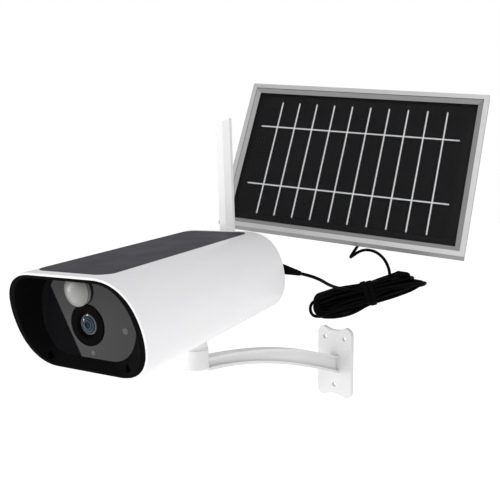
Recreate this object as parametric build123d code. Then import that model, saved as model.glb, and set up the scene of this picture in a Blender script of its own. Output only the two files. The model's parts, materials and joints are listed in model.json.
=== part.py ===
from build123d import *
import os
from math import cos, radians, sin, tan

# Wall-mounted solar security camera with a second solar panel, in millimetres.
# Origin: centre of the wall plate's back face. +X right along the wall, +Y into the wall, +Z up.

# ---- Camera head. Its own frame: X to the right seen from behind it, Y to its rear, Z up, origin at
# the centre of the ball that carries it ----
HEAD_WIDTH = 105.0
HEAD_HEIGHT = 63.5
HEAD_TOP_LENGTH = 167.7
TOP_FLAT_HALF = 24.8            # half width of the flat top, where the side bulge begins
BULGE_HANDLE = 0.63             # fullness of the side bulge, 0.552 is a plain ellipse
FRONT_SLOPE = 0.241             # run back per unit down, front rim
REAR_SLOPE = 0.155              # run back per unit down, rear rim
LIP_Y = -124.1                  # top of the front rim
BOTTOM_Z = 22.4                 # underside of the head
SHELL_WALL = 2.5
RIM_WALL = 1.4                  # white edge that shows round the black hood
HEAD_YAW = 8.75                 # degrees, as it rests
HEAD_PITCH = 6.2                # degrees nose down, as it rests

MID_Z = BOTTOM_Z + HEAD_HEIGHT / 2
TOP_Z = BOTTOM_Z + HEAD_HEIGHT
REAR_Y = LIP_Y + HEAD_TOP_LENGTH

# Face of the camera, with heights from the middle of the head
PLATE_Y = LIP_Y + 18.4
PLATE_THICK = 2.0
PLATE_HALF_WIDTH = 37.5
PLATE_FLAT_HALF = 16.0
PLATE_TOP = 28.8
PLATE_BOTTOM = -22.8
HOOD_DEPTH = 24.0
HOOD_LIP = 1.3                  # width of the hood's front edge, below
HOOD_LIP_TOP = 1.95
HOOD_LIP_SIDE = 4.2
PIR_RADIUS = 9.6
PIR_X = -4.4
PIR_Z = MID_Z + 18.6
PIR_DRUM = 2.3                  # straight side of the motion sensor's lens, in front of the faceplate
PIR_STANDOUT = 3.6              # crown of the lens, in front of its straight side
PIR_COLLAR = 8.6                # part of its lens that goes through the faceplate
LENS_Z = MID_Z - 2.4
LENS_RING_RADIUS = 12.95
LENS_BARREL_Y = PLATE_Y + 2.45
LENS_GLASS_RADIUS = 6.6
LEDS = [(29.3, MID_Z - 3.0), (-29.3, MID_Z - 3.0), (2.5, MID_Z - 19.4)]
HOOD_SCREW_X = 31.0
HOOD_SCREW_Z = MID_Z - 24.2

# Top solar glass
TOP_GLASS_START = 7.1           # behind the rim
TOP_GLASS_LENGTH = 157.0
TOP_GLASS_HALF = 28.7
TOP_GLASS_CORNER = 9.0
TOP_GLASS_THICK = 1.2
TOP_CELL_THICK = 0.4

# Ball joint and wall bracket
BALL_CENTRE = (0.0, -202.5, 47.5)
BALL_RADIUS = 6.8
STEM_RADIUS = 3.4
CUP_RADIUS = 9.3
CUP_TOP = 3.0                   # above the ball centre
CUP_DEPTH = 15.0
RING_HEIGHT = 3.2
SKIRT_RADIUS = 10.4             # hollow dome under the foot, round the ball centre
FOOT_RADIUS = 16.0
PLATE_WIDTH = 39.5
PLATE_HEIGHT = 71.0
WALL_PLATE_THICK = 4.0
LOBE_OFFSET = 12.0
WALL_HOLE_RADIUS = 2.25
TOP_HOLE_SPACING = 22.0
TOP_HOLE_Z = 24.5
BOTTOM_HOLE_Z = -23.0

# Antenna, in the head's frame
ANTENNA = (-1.0, 54.0, 67.0)    # where its fold and its swivel cross
ANTENNA_TOP = 172.5
ANTENNA_LEAN = 1.7              # degrees
BLADE_WIDTH = 11.6
BLADE_THICK = 6.4
FOLD_PIN_RADIUS = 1.2

# Large panel. Its own frame: origin at the centre of the frame's front, X right, Y back, Z up
PANEL_WIDTH = 206.0
PANEL_HEIGHT = 138.0
PANEL_DEPTH = 12.0
FRAME_FACE = 7.9                # width of the frame's front border
FRAME_LAND = 4.0                # flat part of that border, outside the sloping lip
PANEL_CENTRE = (52.8, -71.0, 194.0)
PANEL_SWIVEL = 20.0             # degrees, its face turned to the right
PANEL_TILT = 21.1               # degrees, its face turned up
PANEL_TURN = 6.9                # degrees in its own plane, right side down
GLASS_SETBACK = 2.6
GLASS_THICK = 2.4
CELL_STRIPS = 11
TILT_STANDOFF = 30.0            # tilt pin behind the panel's front
SWIVEL_OFFSET = 18.0            # swivel pin behind the tilt pin
PIN_RADIUS = 2.5

# Cable: three metres, most of it folded into a hank
CABLE_RADIUS = 1.3
HANK_CENTRE = (71.6, -72.3, 80.0)
HANK_BEARING = 39.0             # degrees from +X, the way the hank lies
HANK_THICK = 13.0

FIT = 0.05                      # running clearance of pins and shafts
GAP = 0.3                       # clearance of faces that pass each other

parts = {}

# ---- Frames ----
HEAD = Location(BALL_CENTRE) * Location((0, 0, 0), (0, 0, HEAD_YAW)) * Location((0, 0, 0), (HEAD_PITCH, 0, 0))
PANEL_TILTED = (
    Location(PANEL_CENTRE)
    * Location((0, 0, 0), (0, 0, PANEL_SWIVEL))
    * Location((0, 0, 0), (-PANEL_TILT, 0, 0))
)
PANEL = PANEL_TILTED * Location((0, 0, 0), (0, PANEL_TURN, 0))
TILT_PIN = (PANEL_TILTED * Location((0, TILT_STANDOFF, 0))).position
SWIVELLED = Location(TILT_PIN) * Location((0, 0, 0), (0, 0, PANEL_SWIVEL))
SWIVEL_PIN = (SWIVELLED * Location((0, SWIVEL_OFFSET, 0))).position
HANK = Location(HANK_CENTRE) * Location((0, 0, 0), (0, 0, HANK_BEARING))


# ---- Helpers ----
def keep(name, shape, place=Location()):
    """Record a sub-part, moved from its own frame into the part's frame."""
    parts[name] = place * shape


def rod(radius, start, end):
    a = Vector(*start)
    b = Vector(*end)
    return extrude(Plane(origin=a, z_dir=b - a) * Circle(radius), (b - a).length)


def cone(radius_a, radius_b, start, end):
    a = Vector(*start)
    b = Vector(*end)
    first = Plane(origin=a, z_dir=b - a) * Circle(radius_a)
    last = Plane(origin=b, z_dir=b - a) * Circle(radius_b)
    return loft([first, last])


def block(size, centre):
    return Location(centre) * Box(*size)


def pipe(outer, inner, start, end):
    return rod(outer, start, end) - rod(inner, start, end)


def group(solids):
    return Compound(children=list(solids))


def outline(flat_half, half_width, top, bottom, y, slope=0.0):
    """Closed outline, flat above and below with full, bulging sides, on a plane across the head.

    y is the plane's place at the top of the head, and slope its run back per unit down."""
    middle = (top + bottom) / 2
    reach = (half_width - flat_half) * BULGE_HANDLE

    def at(x, z):
        return (x, y + (TOP_Z - z) * slope, z)

    edges = [
        Line(at(-flat_half, top), at(flat_half, top)),
        Line(at(-flat_half, bottom), at(flat_half, bottom)),
    ]
    for side in (1, -1):
        for end in (top, bottom):
            handle = middle + (end - middle) * BULGE_HANDLE
            edges.append(Bezier(
                at(side * flat_half, end),
                at(side * (flat_half + reach), end),
                at(side * half_width, handle),
                at(side * half_width, middle),
            ))
    return make_face(edges)


def head_outline(inset, y, slope):
    return outline(TOP_FLAT_HALF, HEAD_WIDTH / 2 - inset, TOP_Z - inset, BOTTOM_Z + inset, y, slope)


def hull(inset, front=0.0, rear=0.0):
    """The head's outer form, inset evenly, with its ends moved along Y by front and rear."""
    return loft([
        head_outline(inset, LIP_Y + front, FRONT_SLOPE),
        head_outline(inset, REAR_Y + rear, REAR_SLOPE),
    ])


def face_outline(grow, y):
    """Outline of the faceplate, grown evenly, at a place along the head."""
    half = PLATE_HALF_WIDTH + grow
    return outline(PLATE_FLAT_HALF, half, MID_Z + PLATE_TOP + grow, MID_Z + PLATE_BOTTOM - grow, y)


def rear_y(z):
    """Place of the rear rim at a height."""
    return REAR_Y + (TOP_Z - z) * REAR_SLOPE


def top_slot(top, thick):
    """Rounded rectangle let into the head's top, with its upper face at a height."""
    middle = LIP_Y + TOP_GLASS_START + TOP_GLASS_LENGTH / 2
    shape = RectangleRounded(2 * TOP_GLASS_HALF, TOP_GLASS_LENGTH, TOP_GLASS_CORNER)
    return Location((0, middle, top - thick)) * extrude(shape, thick)


# ---- Housing ----
REAR_RECESS = 2.0
REAR_THICK = 3.0
REAR_SCREWS = [(x, MID_Z + z) for x in (-33, 33) for z in (-17, 17)]
JACK_X = 37.0
JACK_Z = 57.5
JACK_BORE = 2.8
FOOT_SCREWS = [(12.5 * cos(radians(a)), 12.5 * sin(radians(a))) for a in (90, 210, 330)]
BUTTONS = {"reset_button": (-16.0, 24.0), "power_button": (-16.0, 35.0)}
BUTTON_RADIUS = 3.2
SPEAKER_X = -24.0
SPEAKER_Z = MID_Z - 4.0
SPEAKER_RADIUS = 11.0


def make_shell():
    shell = hull(0) - hull(SHELL_WALL, front=-20, rear=20)
    mouth_back = head_outline(RIM_WALL, LIP_Y + HOOD_DEPTH, 0)
    mouth = loft([head_outline(RIM_WALL, LIP_Y - 1, FRONT_SLOPE), mouth_back])
    shell = shell - mouth - top_slot(TOP_Z, TOP_GLASS_THICK + TOP_CELL_THICK)
    floor = BOTTOM_Z - 1
    for x, y in FOOT_SCREWS:
        shell -= rod(1.3, (x, y, floor), (x, y, floor + 5))
    for x, y in BUTTONS.values():
        shell -= rod(BUTTON_RADIUS + FIT, (x, y, floor), (x, y, floor + 5))
    return shell


def lip_outline(y):
    """Inner outline of the hood's front edge."""
    half = HEAD_WIDTH / 2 - RIM_WALL - HOOD_LIP_SIDE
    top = TOP_Z - RIM_WALL - HOOD_LIP_TOP
    return outline(TOP_FLAT_HALF, half, top, BOTTOM_Z + RIM_WALL + HOOD_LIP, y, FRONT_SLOPE)


def make_hood():
    """Black hood in the mouth: a thin lip at the rim and walls that close in to the faceplate."""
    back = LIP_Y + HOOD_DEPTH - 0.1
    skin = 0.03
    outer = loft([head_outline(RIM_WALL + skin, LIP_Y, FRONT_SLOPE), head_outline(RIM_WALL + skin, back, 0)])
    front = lip_outline(LIP_Y)
    ahead = lip_outline(LIP_Y - 3)
    hood = outer - loft([front, face_outline(0, PLATE_Y)]) - loft([ahead, front])
    hood -= loft([face_outline(0.8, PLATE_Y), face_outline(0.8, PLATE_Y + PLATE_THICK)])
    hood -= loft([face_outline(-1.0, PLATE_Y), face_outline(-1.0, back + 1)])
    hood -= top_slot(TOP_Z, TOP_GLASS_THICK + TOP_CELL_THICK)
    for side in (1, -1):
        x = side * HOOD_SCREW_X
        hood -= rod(2.4, (x, PLATE_Y - 12, HOOD_SCREW_Z), (x, PLATE_Y + 1.5, HOOD_SCREW_Z))
        hood -= rod(1.3, (x, PLATE_Y, HOOD_SCREW_Z), (x, back + 1, HOOD_SCREW_Z))
    return hood


def make_hood_screws():
    y = PLATE_Y + 1.5
    screws = []
    for side in (1, -1):
        x = side * HOOD_SCREW_X
        head = rod(2.1, (x, y - 1.6, HOOD_SCREW_Z), (x, y, HOOD_SCREW_Z))
        slot_place = (x, y - 1.6, HOOD_SCREW_Z)
        head -= block((0.5, 0.9, 2.6), slot_place)
        head -= block((2.6, 0.9, 0.5), slot_place)
        screws.append(head + rod(1.2, (x, y, HOOD_SCREW_Z), (x, y + 3.5, HOOD_SCREW_Z)))
    return group(screws)


def make_faceplate():
    plate = loft([face_outline(0.75, PLATE_Y), face_outline(0.75, PLATE_Y + PLATE_THICK - 0.05)])
    plate -= rod(LENS_RING_RADIUS, (0, PLATE_Y - 1, LENS_Z), (0, PLATE_Y + 4, LENS_Z))
    plate -= rod(PIR_COLLAR + FIT, (PIR_X, PLATE_Y - 1, PIR_Z), (PIR_X, PLATE_Y + 4, PIR_Z))
    return plate


def make_pir_dome():
    """Thin lens over the motion sensor: a short drum with a crowned front, standing out of the faceplate."""
    sphere_radius = (PIR_RADIUS ** 2 + PIR_STANDOUT ** 2) / (2 * PIR_STANDOUT)
    shoulder = PLATE_Y - PIR_DRUM
    centre = (PIR_X, shoulder - PIR_STANDOUT + sphere_radius, PIR_Z)
    wall = 1.0
    cap = Location(centre) * (Sphere(sphere_radius) - Sphere(sphere_radius - wall))
    cap &= rod(2 * PIR_RADIUS, (PIR_X, PLATE_Y - 20, PIR_Z), (PIR_X, shoulder, PIR_Z))
    drum = pipe(PIR_RADIUS, PIR_COLLAR - 0.2, (PIR_X, shoulder, PIR_Z), (PIR_X, PLATE_Y, PIR_Z))
    collar = pipe(PIR_COLLAR, PIR_COLLAR - wall, (PIR_X, PLATE_Y - 0.9, PIR_Z), (PIR_X, PLATE_Y + 3, PIR_Z))
    return cap + drum + collar


def make_lens_ring():
    """Black ring round the lens, with a stepped cone down to the glass."""
    front = PLATE_Y - 0.6
    ring = rod(LENS_RING_RADIUS - 0.05, (0, front, LENS_Z), (0, PLATE_Y + 5, LENS_Z))
    hole = LENS_GLASS_RADIUS + 0.1
    ring -= cone(hole + 1.6, hole, (0, front - 0.01, LENS_Z), (0, front + 1.2, LENS_Z))
    ring -= rod(hole, (0, front + 1, LENS_Z), (0, PLATE_Y + 6, LENS_Z))
    return ring - rod(PIR_RADIUS + FIT, (PIR_X, front - 1, PIR_Z), (PIR_X, PLATE_Y + 6, PIR_Z))


def make_lens_glass():
    """Front element: a shallow dome on a short edge."""
    edge = PLATE_Y + 1.0
    rise = 1.4
    radius = (LENS_GLASS_RADIUS ** 2 + rise ** 2) / (2 * rise)
    ball = Location((0, edge - rise + radius, LENS_Z)) * Sphere(radius)
    return ball & rod(LENS_GLASS_RADIUS, (0, edge - rise - 1, LENS_Z), (0, edge + 1.4, LENS_Z))


def make_lens_barrel():
    start = LENS_BARREL_Y
    body = rod(LENS_GLASS_RADIUS, (0, start, LENS_Z), (0, start + 5, LENS_Z))
    holder = block((14, 12, 14), (0, start + 11, LENS_Z))
    return body + holder - rod(3.2, (0, start - 1, LENS_Z), (0, start + 20, LENS_Z))


def make_led_board():
    y = PLATE_Y + 12.0
    board = block((68, 1.6, 34), (0, y, MID_Z - 9))
    board -= block((16, 4, 16), (0, y, LENS_Z))
    return board


def make_leds():
    y = PLATE_Y + 11.2
    leds = []
    for x, z in LEDS[:2]:
        body = rod(2.5, (x, y - 6, z), (x, y, z))
        leds.append(body + Location((x, y - 6, z)) * Sphere(2.5))
    return group(leds)


def make_light_sensor():
    x, z = LEDS[2]
    y = PLATE_Y + 11.2
    return block((3.0, 5, 3.0), (x, y - 2.5, z)) + rod(1.4, (x, y - 7, z), (x, y - 5, z))


def make_pir_sensor():
    """Round can with a square window, on the main board's front edge."""
    y = PLATE_Y + 9
    can = rod(4.6, (PIR_X, y - 4, PIR_Z), (PIR_X, y, PIR_Z)) + rod(5.0, (PIR_X, y - 0.8, PIR_Z), (PIR_X, y, PIR_Z))
    return can - block((4, 1, 3), (PIR_X, y - 4, PIR_Z)) + block((12, 1.6, 12), (PIR_X, y + 0.8, PIR_Z))


def make_sensor_board():
    y = LENS_BARREL_Y + 17
    return block((30, 1.6, 26), (0, y + 0.8, LENS_Z)) + block((4.4, 1.2, 4.4), (0, y - 0.4, LENS_Z))


# ---- Inside the housing ----
CELL_RADIUS = 9.1
CELL_LENGTH = 65.0
CELL_PITCH = 18.8
CELL_START = -52.0
CELL_Z = BOTTOM_Z + SHELL_WALL + 4.0 + CELL_RADIUS
BOARD_Z = CELL_Z + CELL_RADIUS + 6.0
POST_X = 36.0
POST_Y = 36.0                   # from the middle of the cells
POST_RADIUS = 2.6


def cell_centres():
    return [(i - 1.5) * CELL_PITCH for i in range(4)]


def make_battery_cells():
    cells = []
    for x in cell_centres():
        can = rod(CELL_RADIUS, (x, CELL_START, CELL_Z), (x, CELL_START + CELL_LENGTH - 1.5, CELL_Z))
        button = rod(3.0, (x, CELL_START + CELL_LENGTH - 1.5, CELL_Z), (x, CELL_START + CELL_LENGTH, CELL_Z))
        cells.append(can + button)
    return group(cells)


def make_battery_tray():
    """Open tray on the housing's floor: a round trough for each cell, and a post for the board at each corner."""
    floor = BOTTOM_Z + SHELL_WALL
    width = 4 * CELL_PITCH + 0.4
    length = CELL_LENGTH + 4
    middle = CELL_START + CELL_LENGTH / 2
    tray = block((width, length, CELL_RADIUS + 4), (0, middle, floor + (CELL_RADIUS + 4) / 2))
    for x in cell_centres():
        end = CELL_START + CELL_LENGTH + 0.1
        tray -= rod(CELL_RADIUS + 0.1, (x, CELL_START - 0.1, CELL_Z), (x, end, CELL_Z))
    for x in (-POST_X, POST_X):
        for y in (middle - POST_Y, middle + POST_Y):
            tray += rod(POST_RADIUS, (x, y, floor - 1), (x, y, BOARD_Z - 0.8))
            tray -= rod(1.1, (x, y, BOARD_Z - 9), (x, y, BOARD_Z))
    tray &= hull(SHELL_WALL + 0.2, front=-20, rear=20)
    for x, y in FOOT_SCREWS:
        tray -= rod(2.7, (x, y, floor - 1), (x, y, floor + 2))
    return tray


def make_main_board():
    board = block((78, 92, 1.6), (0, -26, BOARD_Z))
    chips = [
        ((16, 16, 1.4), (-12, -30)), ((10, 14, 1.2), (14, -34)), ((22, 12, 3.0), (-18, 4)), ((12, 12, 6), (22, 2)),
    ]
    for size, (x, y) in chips:
        board += block(size, (x, y, BOARD_Z + 0.8 + size[2] / 2))
    return board


# ---- Rear ----
COVER_OUT = -REAR_RECESS                     # cover's outer face, from the rear rim
COVER_IN = COVER_OUT - REAR_THICK
GASKET_IN = COVER_IN - 1.2
SEAT = 3.0                                   # width of the gasket


def rear_slab(inset, out, inner):
    """Slice of the head's form, parallel to its rear rim, between two places measured from the rim."""
    return loft([head_outline(inset, REAR_Y + out, REAR_SLOPE), head_outline(inset, REAR_Y + inner, REAR_SLOPE)])


def rear_bore(radius, x, z, out=2.0, inner=-12.0):
    """Round bar along Y through the rear cover."""
    return rod(radius, (x, rear_y(z) + inner, z), (x, rear_y(z) + out, z))


def make_rear_cover():
    cover = rear_slab(SHELL_WALL + 0.05, COVER_OUT, COVER_IN)
    for x, z in REAR_SCREWS:
        cover -= rear_bore(1.7, x, z)
        cover -= rear_bore(3.0, x, z, inner=COVER_OUT - 1.6)
    cover -= rear_bore(5.05, JACK_X, JACK_Z)
    cover -= rear_bore(3.25, ANTENNA[0], ANTENNA[2])
    for row in range(-2, 3):
        for column in range(-2, 3):
            if abs(row) + abs(column) < 4:
                cover -= rear_bore(0.8, SPEAKER_X + 3.2 * column, SPEAKER_Z + 3.2 * row)
    return cover


def make_rear_gasket():
    ring = rear_slab(SHELL_WALL + 0.05, COVER_IN, GASKET_IN)
    ring -= rear_slab(SHELL_WALL + SEAT, COVER_IN + 1, GASKET_IN - 1)
    return ring


def make_rear_screws():
    screws = []
    for x, z in REAR_SCREWS:
        top = COVER_OUT - 0.2
        head = rear_bore(2.8, x, z, out=top, inner=COVER_OUT - 1.6)
        head -= block((0.6, 1.6, 3.4), (x, rear_y(z) + top, z))
        head -= block((3.4, 1.6, 0.6), (x, rear_y(z) + top, z))
        screws.append(head + rear_bore(1.5, x, z, out=COVER_OUT - 1.6, inner=-14.0))
    return group(screws)


def make_jack():
    """Round power socket through the rear cover."""
    body = rear_bore(5.0, JACK_X, JACK_Z, out=COVER_OUT + 0.8, inner=COVER_OUT - 9)
    flange = rear_bore(6.4, JACK_X, JACK_Z, out=COVER_OUT + 0.9, inner=COVER_OUT + 0.02)
    flange -= rear_slab(0, COVER_OUT + 0.02, COVER_IN)
    socket = rear_bore(JACK_BORE, JACK_X, JACK_Z, out=4, inner=COVER_OUT - 8)
    return body + flange - socket + rear_bore(0.6, JACK_X, JACK_Z, out=COVER_OUT, inner=COVER_OUT - 8.5)


def make_speaker():
    z = SPEAKER_Z
    y = rear_y(z + SPEAKER_RADIUS) + COVER_IN - 0.4
    drum = rod(SPEAKER_RADIUS, (SPEAKER_X, y - 3, z), (SPEAKER_X, y, z))
    magnet = rod(6.5, (SPEAKER_X, y - 7, z), (SPEAKER_X, y - 3, z))
    return drum + magnet - cone(2.0, 8.5, (SPEAKER_X, y - 2, z), (SPEAKER_X, y + 0.1, z))


def make_button(x, y):
    cap = rod(BUTTON_RADIUS, (x, y, BOTTOM_Z - 0.6), (x, y, BOTTOM_Z + SHELL_WALL + 0.6))
    collar = rod(BUTTON_RADIUS + 1.2, (x, y, BOTTOM_Z + SHELL_WALL + 0.05), (x, y, BOTTOM_Z + SHELL_WALL + 0.6))
    return cap + collar


# ---- Foot and ball joint ----
def round_x(profile):
    """Turn a profile, drawn in X and Z, about the Z axis."""
    return revolve(make_face(Plane.XZ * profile), Axis.Z)


def make_foot():
    """Flared foot screwed under the head, hollowed to a dome that slides round the ball's clamp ring."""
    low = SKIRT_RADIUS * cos(radians(58))
    base = BOTTOM_Z - 0.02
    rim = CUP_RADIUS - 0.2
    profile = Line((0, low), (rim, low)) + Line((rim, low), (rim, low + 2.4))
    profile += Spline((rim, low + 2.4), (rim + 2.2, base - 4.5), (FOOT_RADIUS, base - 0.9), tangents=((0, 1), (1, 0.35)))
    profile += Line((FOOT_RADIUS, base - 0.9), (FOOT_RADIUS, base)) + Line((FOOT_RADIUS, base), (0, base))
    profile += Line((0, base), (0, low))
    foot = round_x(profile) - Sphere(SKIRT_RADIUS) - rod(STEM_RADIUS + FIT, (0, 0, 0), (0, 0, base + 1))
    for x, y in FOOT_SCREWS:
        foot -= rod(1.35, (x, y, base - 4), (x, y, base + 1))
    return foot


def make_foot_screws():
    """Three screws driven from inside the housing into the foot."""
    floor = BOTTOM_Z + SHELL_WALL
    screws = []
    for x, y in FOOT_SCREWS:
        head = rod(2.4, (x, y, floor + 0.02), (x, y, floor + 1.6))
        screws.append(head + rod(1.2, (x, y, floor - 5.5), (x, y, floor + 0.02)))
    return group(screws)


def make_ball_stem():
    return Sphere(BALL_RADIUS) + rod(STEM_RADIUS, (0, 0, 0), (0, 0, BOTTOM_Z - 0.5))


def make_ball_seat():
    """Liner in the bottom of the cup, with a round seat for the ball."""
    bottom = -CUP_DEPTH + CUP_TOP + 2.2
    body = rod(CUP_RADIUS - 1.6, (0, 0, bottom), (0, 0, -0.8))
    return body - Sphere(BALL_RADIUS + 0.08)


def make_clamp_ring():
    """Threaded ring on the cup, whose round throat holds the ball down."""
    low = CUP_TOP + 0.3
    top = low + RING_HEIGHT
    ring = rod(CUP_RADIUS, (0, 0, low), (0, 0, top)) & Sphere(SKIRT_RADIUS - GAP)
    ring += rod(CUP_RADIUS - 1.6, (0, 0, 0.4), (0, 0, low))
    ring -= Sphere(BALL_RADIUS + 0.08)
    return ring - cone(3.9, 9.0, (0, 0, 2.6), (0, 0, top + 0.1))


def make_wall_plate():
    """Upright plate with two lobes above and two below, and a screw hole in the middle of each end."""
    half_w = PLATE_WIDTH / 2
    half_h = PLATE_HEIGHT / 2
    waist = 3.2
    sketch = Rectangle(PLATE_WIDTH, PLATE_HEIGHT)
    sketch = fillet(sketch.vertices(), half_w - LOBE_OFFSET)
    notch = (LOBE_OFFSET ** 2 + waist ** 2) / (2 * waist)
    for side in (1, -1):
        sketch -= Location((0, side * (half_h + notch - waist))) * Circle(notch)
    for x, z in wall_holes():
        sketch -= Location((x, z)) * Circle(WALL_HOLE_RADIUS)
    plate = extrude(Plane.XZ * sketch, WALL_PLATE_THICK)
    return fillet(plate.faces().sort_by(Axis.Y)[0].outer_wire().edges(), 1.2)


def wall_holes():
    half = TOP_HOLE_SPACING / 2
    return [(-half, TOP_HOLE_Z), (half, TOP_HOLE_Z), (0, BOTTOM_HOLE_Z)]


# The arm's side view: heights of its top and bottom edges at the wall, midway and at the cup
ARM_TOP = ((-WALL_PLATE_THICK, 6.2), (-75.0, 26.7), (-194.0, 42.6))
ARM_LOW = ((-WALL_PLATE_THICK, -10.4), (-75.0, 11.7), (-194.0, 32.6))
ARM_WEB = 5.0
ARM_FLANGE_WIDTH = 11.0
ARM_FLANGE = 2.4


def arm_slab(inset, width):
    """Side view of the arm, inset from its top and bottom edges, as thick as the width."""
    ends = ((0, -1, 0.32), (0, -1, 0.04))

    def edge(points, offset):
        spots = [(0, y, z + offset) for y, z in points]
        return Spline(*spots, tangents=ends)

    top = edge(ARM_TOP, -inset)
    low = edge(ARM_LOW, inset)
    face = make_face([top, low, Line(top @ 0, low @ 0), Line(top @ 1, low @ 1)])
    return extrude(face, width / 2, both=True, dir=(1, 0, 0))


def make_arm():
    """Arched arm with an I section, and the cup at its end round the ball."""
    recess = arm_slab(ARM_FLANGE, ARM_FLANGE_WIDTH + 2) - arm_slab(0, ARM_WEB)
    return arm_slab(0, ARM_FLANGE_WIDTH) - recess + Location(BALL_CENTRE) * make_cup()


def make_cup():
    low = CUP_TOP - CUP_DEPTH
    body = cone(CUP_RADIUS + 0.5, CUP_RADIUS, (0, 0, low), (0, 0, CUP_TOP))
    body = fillet(body.edges().sort_by(Axis.Z)[0], 1.0)
    body -= rod(CUP_RADIUS - 1.55, (0, 0, low + 2.15), (0, 0, CUP_TOP + 1))
    return body


# ---- Antenna ----
def make_antenna_socket():
    """Threaded coaxial socket standing out of the rear cover."""
    x, y, z = ANTENNA
    start = rear_y(z) + COVER_OUT
    body = rod(3.2, (x, start - 8, z), (x, y - 7.5, z))
    flange = rear_bore(4.6, x, z, out=COVER_OUT, inner=COVER_IN - 2.5) - rear_slab(0, 3.0, COVER_IN - 0.02)
    return body + flange


def make_antenna_knuckle():
    """Turning base of the antenna: a round collar on the socket and a fork for the blade."""
    collar = rod(5.2, (0, -7.3, 0), (0, -4.6, 0))
    fork = block((9.6, 9.6, 9.2), (0, 0.2, 0)) & rod(5.6, (0, -4.6, 0), (0, 5, 0))
    fork -= block((4.6 + 2 * FIT, 12, 12), (0, 2.2, 0))
    base = collar + fork + rod(4.8, (0, -4.7, 0), (0, -4.0, 0))
    return base - rod(FOLD_PIN_RADIUS, (-6, 0, 0), (6, 0, 0))


def make_antenna_pin():
    return rod(FOLD_PIN_RADIUS, (-4.4, 0, 0), (4.4, 0, 0))


def make_antenna_blade():
    """Flat blade with a ridge along its front, a slanting tip and a tongue in the knuckle's fork."""
    half = BLADE_WIDTH / 2
    deep = BLADE_THICK / 2
    ridge = 1.2
    corners = [(-half, -deep + 1.8), (ridge, -deep), (half, -deep + 3.0), (half, deep), (-half, deep)]
    shape = Polyline(*corners, close=True)
    low = 8.0
    tall = ANTENNA_TOP - ANTENNA[2]
    blade = Location((0, 0, low)) * extrude(make_face(shape), tall - low + 4)
    above = Polyline((-30, tall - 18), (-30, tall + 40), (30, tall + 40), (30, tall + 12), close=True)
    tip = make_face(Plane.XZ * above)
    blade -= extrude(tip, 20, both=True)
    tongue = rod(2.9, (-2.3, 0, 0), (2.3, 0, 0)) + block((4.6, 5.6, low + 2), (0, 0, (low + 2) / 2))
    tongue -= rod(FOLD_PIN_RADIUS + FIT, (-5, 0, 0), (5, 0, 0))
    return blade + tongue


# ---- Large panel ----
GLASS_EDGE = 5.8                # glass edge, in from the frame's outside
CELL_MARGIN = 6.8               # black border between the frame and the cells
GLASS_Y = GLASS_SETBACK + 0.02
GRID_Y = GLASS_Y + GLASS_THICK
CELL_Y = GRID_Y + 0.15
SHEET_Y = CELL_Y + 0.4
SLOT_END = 7.1
BUSBARS_Z = (29.2, -26.5)
BUSBAR_SHORT = 2.0              # how much sooner the busbars end on the right
CELL_GAP = 1.1
BOX_CENTRE = (19.5, 14.1, -32.0)
BOX_SIZE = (46.0, 14.0, 30.0)
GLAND_Y = 16.5
GLAND_END_Z = -57.0


def make_frame_side(length, distance, angle):
    """One mitred side of the frame, its outer edge at a distance from the centre, turned to its place."""
    profile = Polyline(
        (0, 0), (FRAME_LAND, 0), (FRAME_LAND, 0.9), (FRAME_FACE, 2.3), (FRAME_FACE, GLASS_SETBACK),
        (GLASS_EDGE - 0.2, GLASS_SETBACK), (GLASS_EDGE - 0.2, SLOT_END), (FRAME_FACE, SLOT_END),
        (FRAME_FACE, SLOT_END + 1.4), (1.6, SLOT_END + 1.4), (1.6, PANEL_DEPTH - 1.6),
        (6.0, PANEL_DEPTH - 1.6), (6.0, PANEL_DEPTH), (0, PANEL_DEPTH), close=True)
    section_plane = Plane(origin=(0, 0, -distance), x_dir=(0, 0, 1), z_dir=(-1, 0, 0))
    bar = extrude(section_plane * make_face(profile), length / 2, both=True)
    half = length / 2 - 0.01
    wide = 2 * FRAME_FACE
    mitre = Polyline((-half, 0), (half, 0), (half - wide, wide), (wide - half, wide), close=True)
    mitre_plane = Plane(origin=(0, 0, -distance), x_dir=(1, 0, 0), z_dir=(0, -1, 0))
    bar &= extrude(mitre_plane * make_face(mitre), 2 * PANEL_DEPTH, both=True)
    return Location((0, 0, 0), (0, angle, 0)) * bar


def slab(width, height, y_front, y_back):
    return block((width, y_back - y_front, height), (0, (y_front + y_back) / 2, 0))


def make_cells():
    """Strips of solar cell side by side behind the glass."""
    width = PANEL_WIDTH - 2 * FRAME_FACE - 2 * CELL_MARGIN
    height = PANEL_HEIGHT - 2 * FRAME_FACE - 2 * CELL_MARGIN
    pitch = width / CELL_STRIPS
    strips = []
    for i in range(CELL_STRIPS):
        x = (i - (CELL_STRIPS - 1) / 2) * pitch
        strips.append(block((pitch - CELL_GAP, SHEET_Y - CELL_Y, height), (x, (SHEET_Y + CELL_Y) / 2, 0)))
    return group(strips)


def make_grid():
    """Light lines over the cells: one over each gap between strips, and two busbars across them."""
    width = PANEL_WIDTH - 2 * FRAME_FACE - 2 * CELL_MARGIN
    height = PANEL_HEIGHT - 2 * FRAME_FACE - 2 * CELL_MARGIN
    pitch = width / CELL_STRIPS
    y = (GRID_Y + CELL_Y) / 2
    thick = CELL_Y - GRID_Y
    lines = []
    for z in BUSBARS_Z:
        lines.append(block((width - 2 - BUSBAR_SHORT, thick, CELL_GAP), (-BUSBAR_SHORT / 2, y, z)))
    for i in range(CELL_STRIPS - 1):
        x = (i - (CELL_STRIPS - 2) / 2) * pitch
        lines.append(block((CELL_GAP, thick, height - 1), (x, y, 0)))
    return lines[0].fuse(*lines[1:])


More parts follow.
